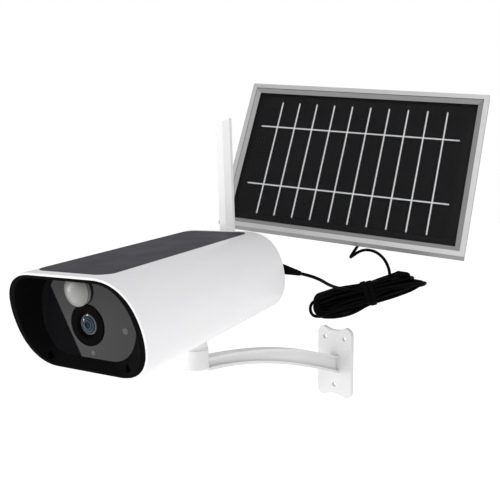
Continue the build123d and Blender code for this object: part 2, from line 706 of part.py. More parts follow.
def make_junction_box():
    x, y, z = BOX_CENTRE
    width, depth, height = BOX_SIZE
    box = block(BOX_SIZE, BOX_CENTRE)
    box = fillet(box.edges().filter_by(Axis.Y), 3.0)
    box -= block((width - 4, depth - 2, height - 4), (x, y + 2, z))
    return box - rod(3.0, (x, GLAND_Y, z), (x, GLAND_Y, z - height))


def make_junction_lid():
    x, y, z = BOX_CENTRE
    width, depth, height = BOX_SIZE
    lid = block((width, 1.8, height), (x, y + depth / 2 + 0.92, z))
    lid = fillet(lid.edges().filter_by(Axis.Y), 3.0)
    lid += block((width - 4.2, 2, height - 4.2), (x, y + depth / 2 - 0.5, z))
    return lid - block((width - 7, 2.4, height - 7), (x, y + depth / 2 - 0.6, z))


def make_gland():
    x = BOX_CENTRE[0]
    low = BOX_CENTRE[2] - BOX_SIZE[2] / 2
    nut = Plane(origin=(x, GLAND_Y, low - 0.02), z_dir=(0, 0, -1)) * RegularPolygon(4.2, 6)
    body = extrude(nut, 4.0) + cone(3.8, 2.5, (x, GLAND_Y, low - 4), (x, GLAND_Y, GLAND_END_Z + 0.1))
    body += rod(2.95, (x, GLAND_Y, low + 3), (x, GLAND_Y, low - 0.1))
    return body


# ---- The large panel's wall bracket ----
TURN_BACK = PANEL_DEPTH + 1.0 + GAP + 5.0    # back face of the disc that the panel turns on
EYE_RADIUS = 6.0
TONGUE_HALF = 4.0
EAR_THICK = 4.0
EAR_IN = TONGUE_HALF + 0.1
BARREL_HALF = 8.0
PANEL_FOOT_WIDTH = 30.0
PANEL_FOOT_HEIGHT = 62.0
PANEL_FOOT_SPACING = 46.0


def make_turn_boss():
    """Round boss on the panel's back, with the pin that the panel turns on."""
    boss = rod(13.0, (0, SLOT_END + 0.02, 0), (0, PANEL_DEPTH + 1.0, 0))
    return boss + rod(4.0, (0, PANEL_DEPTH, 0), (0, TURN_BACK - 1.0, 0))


def make_turn_hub():
    """Disc behind the panel, with a tongue back to the tilt pin."""
    disc = rod(14.0, (0, TURN_BACK - 5.0, 0), (0, TURN_BACK, 0))
    disc -= rod(4.0 + FIT, (0, 0, 0), (0, TURN_BACK - 1.0, 0))
    reach = TILT_STANDOFF - TURN_BACK + 1.0
    tongue = block((2 * TONGUE_HALF, reach, 2 * EYE_RADIUS), (0, TILT_STANDOFF - reach / 2, 0))
    tongue += rod(EYE_RADIUS, (-TONGUE_HALF, TILT_STANDOFF, 0), (TONGUE_HALF, TILT_STANDOFF, 0))
    bore = rod(PIN_RADIUS + FIT, (-9, TILT_STANDOFF, 0), (9, TILT_STANDOFF, 0))
    return disc + tongue - bore


def make_swivel_fork():
    """Fork round the tongue, on an upright barrel. Origin at the tilt pin, Y toward the wall."""
    fork = None
    outer = EAR_IN + EAR_THICK
    for side in (1, -1):
        ear = rod(EYE_RADIUS, (side * EAR_IN, 0, 0), (side * outer, 0, 0))
        ear += block((EAR_THICK, 10, 2 * EYE_RADIUS), (side * (EAR_IN + outer) / 2, 5, 0))
        ear -= rod(PIN_RADIUS + FIT, (side * EAR_IN, 0, 0), (side * outer, 0, 0))
        fork = ear if fork is None else fork + ear
    fork += block((2 * outer, 4, 2 * EYE_RADIUS), (0, 9, 0))
    fork += block((2 * EYE_RADIUS, 8, 2 * EYE_RADIUS), (0, 14, 0))
    fork += rod(EYE_RADIUS, (0, SWIVEL_OFFSET, -BARREL_HALF), (0, SWIVEL_OFFSET, BARREL_HALF))
    return fork - rod(PIN_RADIUS + FIT, (0, SWIVEL_OFFSET, -20), (0, SWIVEL_OFFSET, 20))


def make_tilt_pin():
    """Bolt across the fork, with a lobed knob to tighten it."""
    end = EAR_IN + EAR_THICK
    pin = rod(PIN_RADIUS, (-end - 1, 0, 0), (end + 1, 0, 0)) + rod(4.0, (-end - 2, 0, 0), (-end - FIT, 0, 0))
    knob = rod(6.5, (end + FIT, 0, 0), (end + 7, 0, 0))
    for i in range(6):
        angle = radians(60 * i)
        y = 7.6 * cos(angle)
        z = 7.6 * sin(angle)
        knob -= rod(2.0, (end - 1, y, z), (end + 9, y, z))
    return pin + knob


def make_panel_foot():
    """Plate that holds the large panel's bracket on the wall."""
    x, _, z = SWIVEL_PIN
    sketch = RectangleRounded(PANEL_FOOT_WIDTH, PANEL_FOOT_HEIGHT, 6.0)
    for side in (1, -1):
        sketch -= Location((0, side * PANEL_FOOT_SPACING / 2)) * Circle(WALL_HOLE_RADIUS)
    return Plane(origin=(x, 0, z), x_dir=(1, 0, 0), z_dir=(0, -1, 0)) * extrude(sketch, WALL_PLATE_THICK)


def make_foot_ears():
    """Two ears on the panel's foot that hold the swivel barrel between them."""
    x, y, z = SWIVEL_PIN
    low = BARREL_HALF + 0.1
    reach = -y - WALL_PLATE_THICK
    ears = []
    for side in (1, -1):
        ear_low = (x, y, z + side * low)
        ear_high = (x, y, z + side * (low + EAR_THICK))
        middle = (x, y + reach / 2, z + side * (low + EAR_THICK / 2))
        ear = rod(EYE_RADIUS, ear_low, ear_high) + block((2 * EYE_RADIUS, reach, EAR_THICK), middle)
        ears.append(ear - rod(PIN_RADIUS, ear_low, ear_high))
    return group(ears)


def make_swivel_pin():
    x, y, z = SWIVEL_PIN
    end = BARREL_HALF + 0.1 + EAR_THICK
    pin = rod(PIN_RADIUS, (x, y, z - end - 1), (x, y, z + end + 1))
    pin += extrude(Plane(origin=(x, y, z + end + 0.02)) * RegularPolygon(4.6, 6), 3.0)
    return pin + extrude(Plane(origin=(x, y, z - end - 3.02)) * RegularPolygon(4.6, 6), 3.0)


# ---- Plug and cable ----
# Routes of the two free stretches, from the end of each strain relief into the hank
LEAD_CAMERA = [
    (53.9, -143.4, 105.7), (59.8, -141.8, 104.6), (63.6, -137.6, 102.7), (64.9, -130.6, 99.9),
    (64.4, -121.6, 96.2), (63.0, -110.0, 92.8), (62.2, -98.0, 90.0), (63.2, -84.0, 87.6),
]
LEAD_PANEL = [
    (66.5, -72.2, 133.1), (66.6, -75.0, 126.1), (61.6, -77.2, 117.9), (58.0, -76.1, 113.1),
    (57.3, -70.0, 114.5), (61.4, -66.4, 118.4), (67.5, -63.8, 120.0), (74.5, -60.9, 118.1),
    (80.2, -58.7, 113.1), (84.2, -58.1, 106.5), (86.2, -58.5, 99.6), (86.3, -59.7, 93.0),
]
HANK_OUTLINE = [
    (-49, -8), (-45, 3), (-23, 8.5), (2, 12.5), (33, 21), (50, 14), (35, 5), (-2, -7), (-18, -15.3), (-38, -17.3),
]
TIE_CENTRE = (2.0, 0.0, 3.2)
TIE_SLANT = 17.0                # degrees
TIE_WIDTH = 9.0
PLUG_Y = 54.0                   # centre line of the plug's elbow, in the head's frame
PLUG_RADIUS = 4.0


def corner_radii(points):
    """Largest tangent arc that each corner's shorter run allows."""
    radii = []
    for a, b, c in zip(points, points[1:], points[2:]):
        before = Vector(*b) - Vector(*a)
        after = Vector(*c) - Vector(*b)
        turn = before.get_angle(after)
        radii.append(0.45 * min(before.length, after.length) / tan(radians(turn / 2)))
    return radii


def make_lead(points):
    radii = corner_radii(points)
    path = FilletPolyline(*points, radius=radii)
    tube = sweep(Plane(origin=path @ 0, z_dir=path % 0) * Circle(CABLE_RADIUS), path=path)
    section_area = 3.14159 * CABLE_RADIUS ** 2
    print("lead radii", [round(r, 1) for r in radii], "volume over section", round(tube.volume / section_area, 1),
          "length", round(path.length, 1))
    return tube


def make_hank():
    outline_face = Plane.XZ * make_face(Polyline(*HANK_OUTLINE, close=True))
    solid = extrude(outline_face, HANK_THICK / 2, both=True)
    return fillet(solid.edges().filter_by(Axis.Y), 3.0)


def make_tie(hank):
    """Strap round the waist of the hank."""
    strap = block((TIE_WIDTH, HANK_THICK + 2.4, 21.0), (0, 0, 0))
    return Location(TIE_CENTRE) * Location((0, 0, 0), (0, -TIE_SLANT, 0)) * strap - hank


def make_plug():
    """Elbow plug: a barrel in the socket and a round body turned to the side."""
    inside = rear_y(JACK_Z) + COVER_OUT
    barrel = pipe(JACK_BORE - 0.08, 1.2, (JACK_X, inside - 6, JACK_Z), (JACK_X, inside + 1.1, JACK_Z))
    body = rod(PLUG_RADIUS, (JACK_X, inside + 1.0, JACK_Z), (JACK_X, PLUG_Y, JACK_Z))
    return barrel + body + Location((JACK_X, PLUG_Y, JACK_Z)) * Sphere(PLUG_RADIUS)


def make_strain_relief():
    """Tapered sleeve from the elbow to the start of the free cable, in the part's frame."""
    elbow = (HEAD * Location((JACK_X, PLUG_Y, JACK_Z))).position
    end = Vector(*LEAD_CAMERA[0])
    along = (end - elbow).normalized()
    tip = end - along * FIT
    middle = elbow + along * 11.0
    sleeve = cone(PLUG_RADIUS - 0.3, PLUG_RADIUS, tuple(elbow), tuple(middle))
    sleeve += cone(PLUG_RADIUS, CABLE_RADIUS + 0.5, tuple(middle), tuple(tip))
    return sleeve - HEAD * make_plug()


# ---- Make every sub-part ----
def make_all():
    keep("wall_plate", make_wall_plate())
    keep("bracket_arm", make_arm())
    keep("clamp_ring", make_clamp_ring(), Location(BALL_CENTRE))
    keep("ball_seat", make_ball_seat(), Location(BALL_CENTRE))
    keep("ball_stem", make_ball_stem(), HEAD)
    head_makers = {
        "mount_foot": make_foot, "foot_screws": make_foot_screws, "housing_shell": make_shell,
        "front_hood": make_hood, "hood_screws": make_hood_screws, "faceplate": make_faceplate,
        "pir_dome": make_pir_dome, "pir_sensor": make_pir_sensor, "lens_ring": make_lens_ring,
        "lens_glass": make_lens_glass, "lens_barrel": make_lens_barrel, "image_sensor_board": make_sensor_board,
        "led_board": make_led_board, "ir_leds": make_leds, "light_sensor": make_light_sensor,
        "battery_tray": make_battery_tray, "battery_cells": make_battery_cells, "main_board": make_main_board,
        "speaker": make_speaker, "rear_cover": make_rear_cover,
        "rear_gasket": make_rear_gasket, "rear_screws": make_rear_screws, "power_jack": make_jack,
        "antenna_socket": make_antenna_socket, "cable_plug": make_plug,
    }
    for name, maker in head_makers.items():
        keep(name, maker(), HEAD)
    antenna = HEAD * Location(ANTENNA) * Location((0, 0, 0), (0, ANTENNA_LEAN, 0))
    keep("antenna_knuckle", make_antenna_knuckle(), antenna)
    keep("antenna_pin", make_antenna_pin(), antenna)
    keep("antenna_blade", make_antenna_blade(), antenna)
    keep("top_solar_glass", top_slot(TOP_Z, TOP_GLASS_THICK - 0.01), HEAD)
    keep("top_solar_cells", top_slot(TOP_Z - TOP_GLASS_THICK, TOP_CELL_THICK - 0.01), HEAD)
    for name, (x, y) in BUTTONS.items():
        keep(name, make_button(x, y), HEAD)
    keep("strain_relief", make_strain_relief())

    sides = {
        "frame_bottom": (PANEL_WIDTH, PANEL_HEIGHT / 2, 0), "frame_left": (PANEL_HEIGHT, PANEL_WIDTH / 2, 90),
        "frame_top": (PANEL_WIDTH, PANEL_HEIGHT / 2, 180), "frame_right": (PANEL_HEIGHT, PANEL_WIDTH / 2, -90),
    }
    for name, (length, distance, angle) in sides.items():
        keep(name, make_frame_side(length, distance, angle), PANEL)
    width = PANEL_WIDTH - 2 * GLASS_EDGE
    height = PANEL_HEIGHT - 2 * GLASS_EDGE
    keep("panel_glass", slab(width, height, GLASS_Y, GRID_Y - 0.01), PANEL)
    keep("panel_grid", make_grid(), PANEL)
    keep("panel_cells", make_cells(), PANEL)
    keep("panel_back_sheet", slab(width, height, SHEET_Y + 0.01, SLOT_END - 0.02), PANEL)
    keep("junction_box", make_junction_box(), PANEL)
    keep("junction_lid", make_junction_lid(), PANEL)
    keep("cable_gland", make_gland(), PANEL)
    keep("turn_boss", make_turn_boss(), PANEL)
    keep("turn_hub", make_turn_hub(), PANEL_TILTED)
    keep("swivel_fork", make_swivel_fork(), SWIVELLED)
    keep("tilt_pin", make_tilt_pin(), SWIVELLED)
    keep("panel_foot", make_panel_foot())
    keep("foot_ears", make_foot_ears())
    keep("swivel_pin", make_swivel_pin())

    hank = make_hank()
    keep("cable_hank", hank, HANK)
    keep("cable_tie", make_tie(hank), HANK)
    keep("cable_camera_lead", make_lead(LEAD_CAMERA))
    keep("cable_panel_lead", make_lead(LEAD_PANEL))


make_all()
os.makedirs("parts", exist_ok=True)
for part_name, solid in parts.items():
    export_step(solid, f"parts/{part_name}.step")
print(len(parts), "sub-parts")
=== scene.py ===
import json
import math

import bmesh
import bpy
from mathutils import Matrix, Vector


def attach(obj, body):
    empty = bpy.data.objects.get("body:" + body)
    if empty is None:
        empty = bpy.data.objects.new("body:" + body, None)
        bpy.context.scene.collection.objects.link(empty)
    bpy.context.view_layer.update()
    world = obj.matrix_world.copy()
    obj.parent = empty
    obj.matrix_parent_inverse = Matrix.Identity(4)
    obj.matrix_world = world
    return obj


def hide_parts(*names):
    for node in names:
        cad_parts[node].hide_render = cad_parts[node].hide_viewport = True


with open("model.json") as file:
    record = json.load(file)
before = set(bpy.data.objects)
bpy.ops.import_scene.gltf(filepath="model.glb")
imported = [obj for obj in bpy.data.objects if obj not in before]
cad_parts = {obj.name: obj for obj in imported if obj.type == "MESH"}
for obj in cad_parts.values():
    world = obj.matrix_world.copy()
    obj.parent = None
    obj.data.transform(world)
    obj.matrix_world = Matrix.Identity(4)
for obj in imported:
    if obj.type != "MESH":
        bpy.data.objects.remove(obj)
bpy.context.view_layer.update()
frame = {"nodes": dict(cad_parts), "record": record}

MM = 0.001

# The camera head's own frame, as it rests, and places in it
HEAD = (
    Matrix.Translation((0.0, -202.5, 47.5)) @ Matrix.Rotation(math.radians(8.75), 4, "Z")
    @ Matrix.Rotation(math.radians(6.2), 4, "X")
)
HEAD_MIDDLE = 54.15             # height of the middle of the face
PLATE_Y = -105.7                # front of the faceplate
PIR_X = -4.4                    # middle of the motion sensor's lens
PIR_Z = HEAD_MIDDLE + 18.6
LENS_Z = HEAD_MIDDLE - 2.4      # the camera's own lens

# ---- Camera ----
EYE = (0.32168, -0.53536, 0.16095)
EYE_ROUND = 39.0                # degrees round to the right of the front
EYE_DOWN = 4.5                  # degrees below level
FOCAL_LENGTH = 44.93
SENSOR_WIDTH = 36.0


def make_camera():
    data = bpy.data.cameras.new("camera")
    data.lens = FOCAL_LENGTH
    data.sensor_width = SENSOR_WIDTH
    data.clip_start = 0.01
    camera = bpy.data.objects.new("camera", data)
    camera.location = EYE
    camera.rotation_euler = (math.radians(90 - EYE_DOWN), 0, math.radians(EYE_ROUND))
    bpy.context.scene.collection.objects.link(camera)
    bpy.context.scene.camera = camera


make_camera()

# ---- Cable: one length from the camera's plug, through the tied hank, to the panel's gland ----
CABLE_DIAMETER = 2.6
LEAD_CAMERA = [
    (53.9, -143.4, 105.7), (59.8, -141.8, 104.6), (63.6, -137.6, 102.7), (64.9, -130.6, 99.9),
    (64.4, -121.6, 96.2), (63.0, -110.0, 92.8), (62.2, -98.0, 90.0), (63.2, -84.0, 87.6),
]
LEAD_PANEL = [
    (66.5, -72.2, 133.1), (66.6, -75.0, 126.1), (61.6, -77.2, 117.9), (58.0, -76.1, 113.1),
    (57.3, -70.0, 114.5), (61.4, -66.4, 118.4), (67.5, -63.8, 120.0), (74.5, -60.9, 118.1),
    (80.2, -58.7, 113.1), (84.2, -58.1, 106.5), (86.2, -58.5, 99.6), (86.3, -59.7, 93.0),
]
# The hank's own frame: X along its length, which lies across the camera's view, and Y away from the camera
HANK = Matrix.Translation((71.6, -72.3, 80.0)) @ Matrix.Rotation(math.radians(39), 4, "Z")
HANK_IN = [(-8.0, -3.9, 9.6)]   # from the lead to the first turn, and from the last turn to the other lead
HANK_OUT = [(4.0, 0.6, 6.5), (12.0, 1.0, 8.0), (17.5, 0.8, 9.5)]
TURNS = 15
PER_GROUP = 4                   # turns in a group, side by side from front to back
LAYER = 2.65                    # from one layer of turns to the next, front to back
LEVEL = 2.45                    # from one strand to the next at the waist, up and down
WAIST = 2.0                     # where the strap draws the turns together
WAIST_Z = 3.3
TOP_STRAND = 8.2                # the first group's strands at the waist, over WAIST_Z
LOW_STRAND = -0.85
# Fold of each group of turns on the right, and half its height where it turns front to back
RIGHT_TIPS = [(33.5, 19.4), (39.0, 16.2), (44.6, 13.6), (49.6, 11.6)]
TIP_HALF = [2.3, 1.4, 1.4, 1.4]
TIP_DEEP = 2.8                  # half the depth of a fold on the right
TIP_BACK = 2.8                  # where the fold starts, short of its end
TIP_OUT = 0.9                   # how far its middle stands beyond its end
TIP_ROUND = (0.75, 0.6)         # its corners, over its depth and height
TIP_STEP = 1.3                  # how much shorter each next turn of a group is
TOP_LIFT = 0.4                  # of the upper strands on their way to the fold
# Fold of each group on the left: its end, then height and radius in the even and the odd layers
LEFT_X = [-42.5, -43.2, -41.5, -40.5]
LEFT_EVEN = [(-3.8, 8.0), (-6.8, 7.8), (-8.4, 5.2), (-11.8, 4.4)]
LEFT_ODD = [(-4.0, 7.6), (-4.9, 4.5), (-8.8, 7.0), (-11.0, 5.2)]
LEFT_ROUND = (0.3, 0.8)         # a left fold's corners, inward and up or down, over its radius
LEFT_UNEVEN = 0.9
LAYER_SHIFT = [1.5, -1.4, 0.5, -0.7]    # how far each layer's strands lie up or down on the left
# How soon each group's lower strands drop on the left, and their bend on the right
LOW_BULGE = [(1.0, 1.0), (1.25, 1.15), (1.6, 1.3), (1.9, 1.4)]
LOW_BOW = [0.4, 0.4, 0.4, -1.2]
STRAY_TURN = 2 * PER_GROUP + 1  # its left fold sticks out
STRAY_OUT = 6.2
WANDER = 0.35


def hank_point(x, y, z):
    """A place in the hank's frame, in the shared frame."""
    return tuple(HANK @ Vector((x, y, z)))


def wander(i, j):
    """A small fixed unevenness for turn i at station j."""
    return math.sin(12.9 * i + 4.7 * j) * WANDER


def turn_points(i):
    """One turn, in the hank's frame: right along the top, round, back below, and round on the left.

    The stations between the waist and a fold are given by their part of the way.
    """
    group, place = divmod(i, PER_GROUP)
    layer = place if group % 2 == 0 else PER_GROUP - 1 - place
    y = (layer - (PER_GROUP - 1) / 2) * LAYER
    top = WAIST_Z + TOP_STRAND - LEVEL * group
    low = WAIST_Z + LOW_STRAND - LEVEL * group
    tip_x, tip_z = RIGHT_TIPS[group]
    tip_x -= TIP_STEP * place
    left_z, radius = (LEFT_EVEN if layer % 2 == 0 else LEFT_ODD)[group]
    left_x = LEFT_X[group] + LEFT_UNEVEN * math.cos(5.0 * i)
    if i == STRAY_TURN:
        left_x -= STRAY_OUT
    half = TIP_HALF[group]
    path = [(WAIST, y, top)]
    for j, part in enumerate((0.3, 0.6, 0.84)):
        back = y - part * TIP_DEEP + wander(i, j)
        path.append((WAIST + part * (tip_x - WAIST), back, top + part * (tip_z + half - top) + TOP_LIFT))
    deep, high = TIP_ROUND
    path += [
        (tip_x - TIP_BACK, y - TIP_DEEP, tip_z + half),
        (tip_x, y - deep * TIP_DEEP, tip_z + high * half),
        (tip_x + TIP_OUT, y, tip_z),
        (tip_x, y + deep * TIP_DEEP, tip_z - high * half),
        (tip_x - TIP_BACK, y + TIP_DEEP, tip_z - half),
    ]
    for j, part in enumerate((0.82, 0.56, 0.3)):
        front = y + part * TIP_DEEP + wander(i, j + 4)
        sag = LOW_BOW[group] * math.sin(math.pi * part)
        path.append((WAIST + part * (tip_x - WAIST), front, low + part * (tip_z - half - low) + sag))
    path.append((WAIST, y, low))
    for j, (part, bulge) in enumerate(zip((0.3, 0.62), LOW_BULGE[group])):
        z = low + part * (left_z - radius - low) * bulge + LAYER_SHIFT[layer]
        path.append((WAIST + part * (left_x - WAIST), y + wander(i, j + 8), z))
    inward, high = LEFT_ROUND
    path += [
        (left_x + radius, y, left_z - radius),
        (left_x + inward * radius, y, left_z - high * radius),
        (left_x, y, left_z),
        (left_x + inward * radius, y, left_z + high * radius),
        (left_x + radius, y, left_z + radius),
    ]
    for j, part in enumerate((0.62, 0.3)):
        z = top + part * (left_z + radius - top) + LAYER_SHIFT[layer]
        path.append((WAIST + part * (left_x - WAIST), y + wander(i, j + 11), z))
    return path


def make_cable():
    """The whole cable as one open curve: a lead, the turns, and the other lead."""
    inside = list(HANK_IN)
    for i in range(TURNS):
        inside += turn_points(i)
    inside += HANK_OUT
    points = LEAD_CAMERA + [hank_point(*p) for p in inside] + LEAD_PANEL[::-1]
    data = bpy.data.curves.new("cable", "CURVE")
    data.dimensions = "3D"
    spline = data.splines.new("NURBS")
    spline.points.add(len(points) - 1)
    for point, place in zip(spline.points, points):
        point.co = (*(MM * c for c in place), 1.0)
        point.radius = MM
    spline.order_u = 3
    spline.use_endpoint_u = True
    spline.resolution_u = 7
    # Each point's radius, MM, scales this, and so the curve's box is no larger than the tube
    data.bevel_depth = CABLE_DIAMETER / 2
    data.bevel_resolution = 4
    data.use_fill_caps = True
    cable = bpy.data.objects.new("cable", data)
    bpy.context.scene.collection.objects.link(cable)
    return cable


def add_mesh(name, bm, body, material=None):
    """A new piece from a bmesh, riding on a body."""
    mesh = bpy.data.meshes.new(name)
    bm.normal_update()
    bm.to_mesh(mesh)
    bm.free()
    for face in mesh.polygons:
        face.use_smooth = True
    piece = bpy.data.objects.new(name, mesh)
    bpy.context.scene.collection.objects.link(piece)
    if material:
        mesh.materials.append(material)
    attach(piece, body)
    return piece


# ---- Strap round the hank ----
BAND_WINDS = [(-2.3, 19, 0.0), (2.2, 14, 0.5)]      # each wind's place along the hank, slant and extra reach
BAND_Z = 4.2
BAND_HALF = (5.5, 9.5)          # half its inner size, front to back and up and down
BAND_WIDTH = 4.6
BAND_THICK = 0.5
# Its cross-section's corners, over width and thickness
BAND_SECTION = [(-0.5, 0.3), (-0.42, 1), (0.42, 1), (0.5, 0.3), (0.42, 0), (-0.42, 0)]
BAND_SQUARE = 2.6               # 2 is an ellipse, more is nearer a rectangle
BAND_WAVE = 0.12
BAND_WAVES = 9
BAND_STEPS = 56


def band(bm, place, half_y, half_z):
    """One wind of the strap: a rounded loop in Y and Z, its width along X."""
    loops = []
    for k in range(BAND_STEPS):
        angle = 2 * math.pi * k / BAND_STEPS
        c, s = math.cos(angle), math.sin(angle)
        y = math.copysign(abs(c) ** (2 / BAND_SQUARE), c)
        z = math.copysign(abs(s) ** (2 / BAND_SQUARE), s)
        wave = BAND_WAVE * math.sin(BAND_WAVES * angle)
        loop = []
        for dx, out in BAND_SECTION:
            reach = out * BAND_THICK + (wave if out else 0)
            spot = Vector((dx * BAND_WIDTH, y * (half_y + reach), z * (half_z + reach)))
            loop.append(bm.verts.new(place @ spot))
        loops.append(loop)
    corners = len(BAND_SECTION)
    for k in range(BAND_STEPS):
        a, b = loops[k], loops[(k + 1) % BAND_STEPS]
        for j in range(corners):
            bm.faces.new((a[j], a[(j + 1) % corners], b[(j + 1) % corners], b[j]))


def make_tie():
    """Twice-wound strap round the waist of the hank."""
    bm = bmesh.new()
    half_y, half_z = BAND_HALF
    for x, slant, grow in BAND_WINDS:
        place = Matrix.Scale(MM, 4) @ HANK @ Matrix.Translation((WAIST + x, 0, BAND_Z))
        band(bm, place @ Matrix.Rotation(math.radians(-slant), 4, "Y"), half_y + grow, half_z + grow)
    bmesh.ops.recalc_face_normals(bm, faces=bm.faces)
    return add_mesh("hank_strap", bm, "wall")


cable = make_cable()
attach(cable, "wall")
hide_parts("cable_hank", "cable_camera_lead", "cable_panel_lead")
strap = make_tie()
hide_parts("cable_tie")


# ---- Materials ----
# Scales of the noise over plastic: the colour's mottle and the sheen. The grain's is each material's own
MOTTLE_SCALE = 45
SHEEN_SCALE = 60
METAL_MOTTLE_SCALE = 75
METAL_GRAIN_SCALE = 900
METAL_DARK = 0.94               # the darkest of a metal's mottle, over its colour
METAL_SHEEN = 0.06              # how far a metal's roughness goes up and down
METAL_DEPTH = 0.00001           # of its grain, in metres
PANEL_ROUND = 20.0              # degrees, as the large panel rests
PANEL_BACK = 21.1
PANEL_BACKWARD = (              # straight out of its back
    Matrix.Rotation(math.radians(PANEL_ROUND), 4, "Z")
    @ Matrix.Rotation(math.radians(-PANEL_BACK), 4, "X") @ Vector((0, 1, 0))
)


def new_material(name, colour, rough, **sockets):
    """A principled material, with the values that are even over the surface on the shader's own sockets."""
    material = bpy.data.materials.new(name)
    material.use_nodes = True
    shader = material.node_tree.nodes["Principled BSDF"]
    shader.inputs["Base Color"].default_value = (*colour, 1)
    shader.inputs["Roughness"].default_value = rough
    for socket, value in sockets.items():
        shader.inputs[socket.replace("_", " ")].default_value = value
    return material


def add(material, kind, **values):
    """A new node, with values for its sockets or else its settings."""
    node = material.node_tree.nodes.new(kind)
    for key, value in values.items():
        if key in node.inputs:
            node.inputs[key].default_value = value
        else:
            setattr(node, key, value)
    return node


def join(material, a, b):
    material.node_tree.links.new(a, b)


def shader_of(material):
    return material.node_tree.nodes["Principled BSDF"]


def place_of(material):
    return add(material, "ShaderNodeTexCoord").outputs["Object"]


def noise(material, scale, detail):
    texture = add(material, "ShaderNodeTexNoise", Scale=scale, Detail=detail)
    join(material, place_of(material), texture.inputs["Vector"])
    return texture.outputs["Fac"]


def relief(material, height, depth, strength=1.0):
    """Bump from a height, its depth in metres."""
    bump = add(material, "ShaderNodeBump", Strength=strength, Distance=depth)
    join(material, height, bump.inputs["Height"])
    join(material, bump.outputs["Normal"], shader_of(material).inputs["Normal"])


def between(material, factor, low, high, from_low=0.3, from_high=0.7):
    """A value that follows a factor between two limits."""
    spread = add(material, "ShaderNodeMapRange")
    for socket, value in (("From Min", from_low), ("From Max", from_high), ("To Min", low), ("To Max", high)):
        spread.inputs[socket].default_value = value
    join(material, factor, spread.inputs["Value"])
    return spread.outputs["Result"]


def vary_rough(material, scale, low, high):
    rough = between(material, noise(material, scale, 4.0), low, high)
    join(material, rough, shader_of(material).inputs["Roughness"])


def vary_colour(material, scale, dark, light):
    ramp = add(material, "ShaderNodeValToRGB")
    ramp.color_ramp.elements[0].position = 0.32
    ramp.color_ramp.elements[1].position = 0.68
    ramp.color_ramp.elements[0].color = (*dark, 1)
    ramp.color_ramp.elements[1].color = (*light, 1)
    join(material, noise(material, scale, 4.0), ramp.inputs["Fac"])
    join(material, ramp.outputs["Color"], shader_of(material).inputs["Base Color"])


def moulded(name, colour, rough, spread=0.02, grain_scale=1600, depth=0.00002, **sockets):
    """Moulded plastic: a colour with a spread of faint mottle, fine grain and an uneven sheen."""
    material = new_material(name, colour, rough, **sockets)
    dark = [c * (1 - spread) for c in colour]
    light = [min(1.0, c * (1 + spread)) for c in colour]
    vary_colour(material, MOTTLE_SCALE, dark, light)
    sheen = min(0.05, 0.3 * rough)
    vary_rough(material, SHEEN_SCALE, rough - sheen, rough + sheen)
    relief(material, noise(material, grain_scale, 3.0), depth)
    return material


def metal(name, colour, rough, metallic=1.0):
    """Metal with a fine even grain."""
    material = new_material(name, colour, rough, Metallic=metallic)
    vary_colour(material, METAL_MOTTLE_SCALE, [c * METAL_DARK for c in colour], colour)
    vary_rough(material, METAL_GRAIN_SCALE, rough - METAL_SHEEN, rough + METAL_SHEEN)
    relief(material, noise(material, METAL_GRAIN_SCALE, 3.0), METAL_DEPTH)
    return material


def rings(material, centre, reach, stops):
    """The base colour in rings round a point in the head's frame, each stop's place over the reach."""
    far = add(material, "ShaderNodeVectorMath", operation="DISTANCE")
    join(material, place_of(material), far.inputs[0])
    far.inputs[1].default_value = MM * (HEAD @ Vector(centre))
    ramp = add(material, "ShaderNodeValToRGB")
    elements = ramp.color_ramp.elements
    while len(elements) < len(stops):
        elements.new(0.5)
    for element, (place, colour) in zip(elements, stops):
        element.position = place
        element.color = (*colour, 1)
    join(material, between(material, far.outputs["Value"], 0.0, 1.0, 0.0, reach * MM), ramp.inputs["Fac"])
    join(material, ramp.outputs["Color"], shader_of(material).inputs["Base Color"])


def coated_lens_with_painted_reflections(name):
    """The front element: a dark pupil with thin blue-grey rings round it, painted reflections of the inner
    lens elements, under a clear coat.
    """
    material = new_material(
        name, (0.02, 0.04, 0.05), 0.18, Coat_Weight=0.18, Coat_Roughness=0.03, Specular_IOR_Level=0.05,
    )
    # Painted reflections: the blue-grey rings stand in for the inner elements' reflections
    rings(material, centre=(0, PLATE_Y - 0.4, LENS_Z), reach=6.6, stops=[
        (0.0, (0.001, 0.002, 0.006)), (0.33, (0.002, 0.005, 0.014)), (0.40, (0.04, 0.1, 0.14)),
        (0.46, (0.004, 0.012, 0.02)), (0.58, (0.006, 0.018, 0.03)), (0.64, (0.06, 0.11, 0.135)),
        (0.69, (0.006, 0.012, 0.018)), (0.82, (0.008, 0.014, 0.02)), (0.88, (0.15, 0.19, 0.205)),
        (0.93, (0.05, 0.065, 0.07)), (1.0, (0.004, 0.004, 0.005)),
    ])
    vary_rough(material, scale=300, low=0.15, high=0.22)
    return material


def milky_lens_with_painted_shade(name):
    """The motion sensor's lens: a milky sheet pressed into small facets, darker round its crown by painted
    shade and paler again on its side by painted light.
    """
    material = new_material(name, (0.3, 0.3, 0.28), 0.35)
    # Painted shade: the colour darkens toward the crown's rim; painted light: it pales again on the side
    # beyond
    rings(material, centre=(PIR_X, PLATE_Y - 8.0, PIR_Z), reach=13.0, stops=[
        (0.0, (0.32, 0.325, 0.305)), (0.5, (0.28, 0.285, 0.27)), (0.75, (0.24, 0.245, 0.23)),
        (0.86, (0.24, 0.24, 0.23)), (0.89, (0.3, 0.3, 0.29)), (1.0, (0.4, 0.4, 0.39)),
    ])
    cells = add(material, "ShaderNodeTexVoronoi", Scale=420.0)
    join(material, place_of(material), cells.inputs["Vector"])
    relief(material, cells.outputs["Distance"], depth=0.00012, strength=0.6)
    vary_rough(material, scale=200, low=0.3, high=0.4)
    return material


